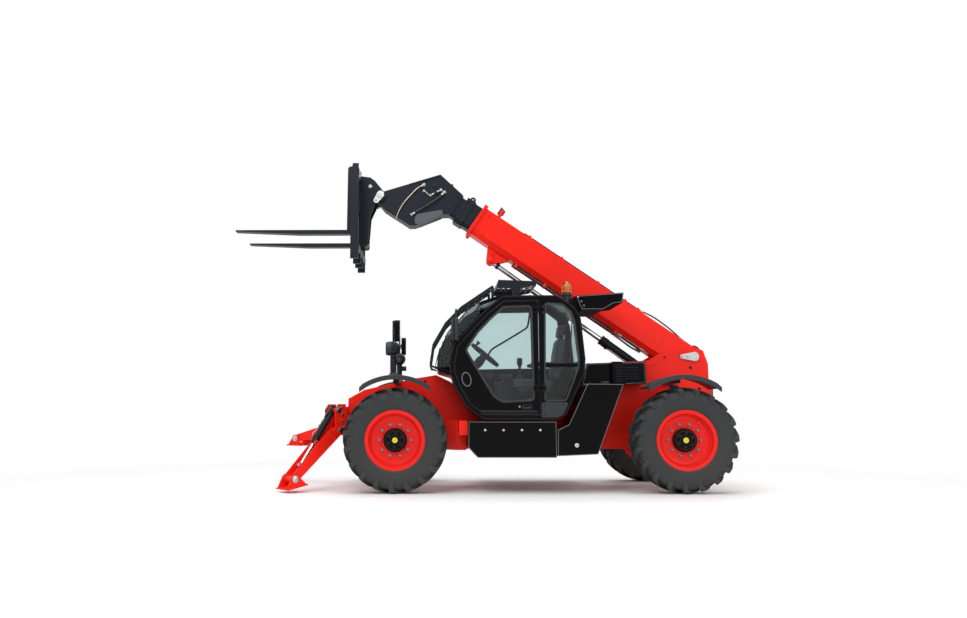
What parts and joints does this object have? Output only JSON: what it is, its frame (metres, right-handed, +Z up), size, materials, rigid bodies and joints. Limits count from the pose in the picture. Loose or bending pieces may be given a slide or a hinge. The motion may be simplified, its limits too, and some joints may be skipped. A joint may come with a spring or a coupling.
{
  "type": "telescopic handler",
  "caption": "Telescopic handler with a side cab, a three-part boom with level pallet forks, four steered wheels and two folding stabilisers.",
  "frame": {"origin": "on the ground, at the middle of the length with the forks and of the width", "axes": "+X forward, towards the forks; +Y to the machine's left, the cab's side; +Z up"},
  "size_m": [5.7694, 2.49, 3.8934],
  "materials": {
    "amber": "clear amber plastic on a black base",
    "black_paint": "satin black paint over steel",
    "black_plastic": "moulded black plastic, fine grain",
    "chrome": "hard chrome, polished",
    "dark_grey_plastic": "moulded dark grey plastic",
    "glass": "clear safety glass with a faint green tint",
    "iron": "cast iron, sealed in",
    "lamp_black": "black moulded lamp",
    "red_lens": "red lens plastic",
    "red_paint": "gloss red paint over steel",
    "red_rim": "gloss red paint over pressed steel",
    "seat_cover": "black vinyl over foam",
    "steel": "bare turned steel",
    "tyre": "dusty black tyre rubber"
  },
  "bodies": {
    "chassis": {"back_panel": "black_paint", "beacon": "amber", "cab_glass": "glass", "cab_shell": "black_paint", "controls": "black_plastic", "engine_block": "iron", "engine_tub": "black_plastic", "frame_members": "red_paint", "frame_sides": "red_paint", "front_axle": "black_paint", "front_fenders": "dark_grey_plastic", "lamp_masts": "black_paint", "mirrors": "black_plastic", "rear_axle": "black_paint", "rear_fenders": "dark_grey_plastic", "rear_roof_box": "black_paint", "roof_guard": "black_paint", "seat": "seat_cover", "side_tank": "dark_grey_plastic", "stabiliser_brackets": "red_paint", "step_box": "black_plastic", "tail_lamps": "red_lens", "windscreen_guard": "black_paint"},
    "boom_outer": {"boom_outer": "red_paint", "boom_pipes": "black_paint", "work_lamp": "lamp_black"},
    "boom_mid": {"boom_mid": "black_paint"},
    "boom_inner": {"boom_inner": "black_paint"},
    "head_link": {"head_pin": "steel"},
    "carriage": {"fork_carriage": "black_paint", "forks": "black_paint"},
    "lift_barrel": {"lift_barrel": "black_paint"},
    "lift_rod": {"lift_rod": "chrome"},
    "left_leg": {"left_leg": "red_paint"},
    "left_foot": {"left_foot": "red_paint"},
    "left_ram_barrel": {"left_ram_barrel": "black_paint"},
    "left_ram_rod": {"left_ram_rod": "chrome"},
    "right_leg": {"right_leg": "red_paint"},
    "right_foot": {"right_foot": "red_paint"},
    "right_ram_barrel": {"right_ram_barrel": "black_paint"},
    "right_ram_rod": {"right_ram_rod": "chrome"},
    "front_left_knuckle": {"front_left_knuckle": "black_paint"},
    "front_left_wheel": {"front_left_rim": "red_rim", "front_left_tyre": "tyre"},
    "front_right_knuckle": {"front_right_knuckle": "black_paint"},
    "front_right_wheel": {"front_right_rim": "red_rim", "front_right_tyre": "tyre"},
    "rear_left_knuckle": {"rear_left_knuckle": "black_paint"},
    "rear_left_wheel": {"rear_left_rim": "red_rim", "rear_left_tyre": "tyre"},
    "rear_right_knuckle": {"rear_right_knuckle": "black_paint"},
    "rear_right_wheel": {"rear_right_rim": "red_rim", "rear_right_tyre": "tyre"},
    "door": {"door": "black_paint", "door_glass": "glass"},
    "engine_lid": {"engine_hood": "black_plastic"}
  },
  "joints": [
    {"name": "boom_lift", "type": "hinge", "parent": "chassis", "child": "boom_outer", "pos_m": [-2.66875, 0, 1.566], "axis": [0, -1, 0], "range_deg": [-36, 35]},
    {"name": "boom_reach", "type": "slide", "parent": "boom_outer", "child": "boom_mid", "axis": [0.8231, 0, 0.5678], "range_m": [0, 2.3]},
    {"name": "boom_reach_inner", "type": "slide", "parent": "boom_mid", "child": "boom_inner", "axis": [0.8231, 0, 0.5678], "range_m": [0, 2.31]},
    {"name": "head_level", "type": "hinge", "parent": "boom_inner", "child": "head_link", "pos_m": [1.15775, 0, 3.59344], "axis": [0, -1, 0], "range_deg": [-35.5, 36.5]},
    {"name": "fork_tilt", "type": "hinge", "parent": "head_link", "child": "carriage", "pos_m": [1.15775, 0, 3.59344], "axis": [0, 1, 0], "range_deg": [-12, 30]},
    {"name": "lift_barrel_swing", "type": "hinge", "parent": "chassis", "child": "lift_barrel", "pos_m": [-2.42975, 0, 1.18], "axis": [0, -1, 0], "range_deg": [-36.2, 35.2]},
    {"name": "lift_rod_slide", "type": "slide", "parent": "lift_barrel", "child": "lift_rod", "axis": [0.8082, 0, 0.589], "range_m": [-0.28, 0.27]},
    {"name": "front_left_steer", "type": "hinge", "parent": "chassis", "child": "front_left_knuckle", "pos_m": [0.92025, 0.84, 0.585], "axis": [0, 0, 1], "range_deg": [-35, 35]},
    {"name": "front_left_spin", "type": "hinge", "parent": "front_left_knuckle", "child": "front_left_wheel", "pos_m": [0.92025, 0.97, 0.585], "axis": [0, 1, 0], "continuous": true},
    {"name": "front_right_steer", "type": "hinge", "parent": "chassis", "child": "front_right_knuckle", "pos_m": [0.92025, -0.84, 0.585], "axis": [0, 0, 1], "range_deg": [-35.5, 35.5]},
    {"name": "front_right_spin", "type": "hinge", "parent": "front_right_knuckle", "child": "front_right_wheel", "pos_m": [0.92025, -0.97, 0.585], "axis": [0, 1, 0], "continuous": true},
    {"name": "rear_left_steer", "type": "hinge", "parent": "chassis", "child": "rear_left_knuckle", "pos_m": [-2.29975, 0.84, 0.585], "axis": [0, 0, 1], "range_deg": [-35, 35]},
    {"name": "rear_left_spin", "type": "hinge", "parent": "rear_left_knuckle", "child": "rear_left_wheel", "pos_m": [-2.29975, 0.97, 0.585], "axis": [0, 1, 0], "continuous": true},
    {"name": "rear_right_steer", "type": "hinge", "parent": "chassis", "child": "rear_right_knuckle", "pos_m": [-2.29975, -0.84, 0.585], "axis": [0, 0, 1], "range_deg": [-35.5, 35.5]},
    {"name": "rear_right_spin", "type": "hinge", "parent": "rear_right_knuckle", "child": "rear_right_wheel", "pos_m": [-2.29975, -0.97, 0.585], "axis": [0, 1, 0], "continuous": true},
    {"name": "door_swing", "type": "hinge", "parent": "chassis", "child": "door", "pos_m": [-0.68575, 1.138, 1.16], "axis": [0, 0, 1], "range_deg": [0, 105]},
    {"name": "engine_lid_swing", "type": "hinge", "parent": "chassis", "child": "engine_lid", "pos_m": [-0.7947, -0.274, 1.42], "axis": [-1, 0, 0], "range_deg": [0, 55]},
    {"name": "left_leg_drop", "type": "hinge", "parent": "chassis", "child": "left_leg", "pos_m": [1.64025, 0.58, 0.69], "axis": [-0.5878, 0.809, 0], "range_deg": [-38.4, 3.6]},
    {"name": "left_ram_swing", "type": "hinge", "parent": "chassis", "child": "left_ram_barrel", "pos_m": [1.66452, 0.59763, 0.922], "axis": [-0.5878, 0.809, 0], "range_deg": [-31.5, 3.4]},
    {"name": "left_ram_slide", "type": "slide", "parent": "left_ram_barrel", "child": "left_ram_rod", "axis": [0.4504, 0.3272, -0.8307], "range_m": [-0.13, 0.017]},
    {"name": "left_foot_swing", "type": "hinge", "parent": "left_leg", "child": "left_foot", "pos_m": [2.10168, 0.91525, 0.15064], "axis": [-0.5878, 0.809, 0], "range_deg": [-20, 25]},
    {"name": "right_leg_drop", "type": "hinge", "parent": "chassis", "child": "right_leg", "pos_m": [1.64025, -0.58, 0.69], "axis": [0.5878, 0.809, 0], "range_deg": [-5, 37]},
    {"name": "right_ram_swing", "type": "hinge", "parent": "chassis", "child": "right_ram_barrel", "pos_m": [1.66452, -0.59763, 0.922], "axis": [0.5878, 0.809, 0], "range_deg": [-4.6, 30.5]},
    {"name": "right_ram_slide", "type": "slide", "parent": "right_ram_barrel", "child": "right_ram_rod", "axis": [0.7068, -0.5135, -0.4866], "range_m": [-0.022, 0.129]},
    {"name": "right_foot_swing", "type": "hinge", "parent": "right_leg", "child": "right_foot", "pos_m": [2.26568, -1.0344, 0.55369], "axis": [0.5878, 0.809, 0], "range_deg": [-25, 20]}
  ],
  "couplings": [
    {"joint": "boom_reach_inner", "follows": "boom_reach", "ratio": 1},
    {"joint": "head_level", "follows": "boom_lift", "ratio": -1},
    {"joint": "lift_barrel_swing", "follows": "boom_lift", "ratio": 0.99},
    {"joint": "lift_rod_slide", "follows": "boom_lift", "m_per_rad": 0.428},
    {"joint": "front_right_steer", "follows": "front_left_steer", "ratio": 1},
    {"joint": "rear_right_steer", "follows": "rear_left_steer", "ratio": 1},
    {"joint": "left_ram_swing", "follows": "left_leg_drop", "ratio": 0.808},
    {"joint": "left_ram_slide", "follows": "left_leg_drop", "m_per_rad": 0.186},
    {"joint": "right_ram_swing", "follows": "right_leg_drop", "ratio": 0.812},
    {"joint": "right_ram_slide", "follows": "right_leg_drop", "m_per_rad": 0.192}
  ]
}
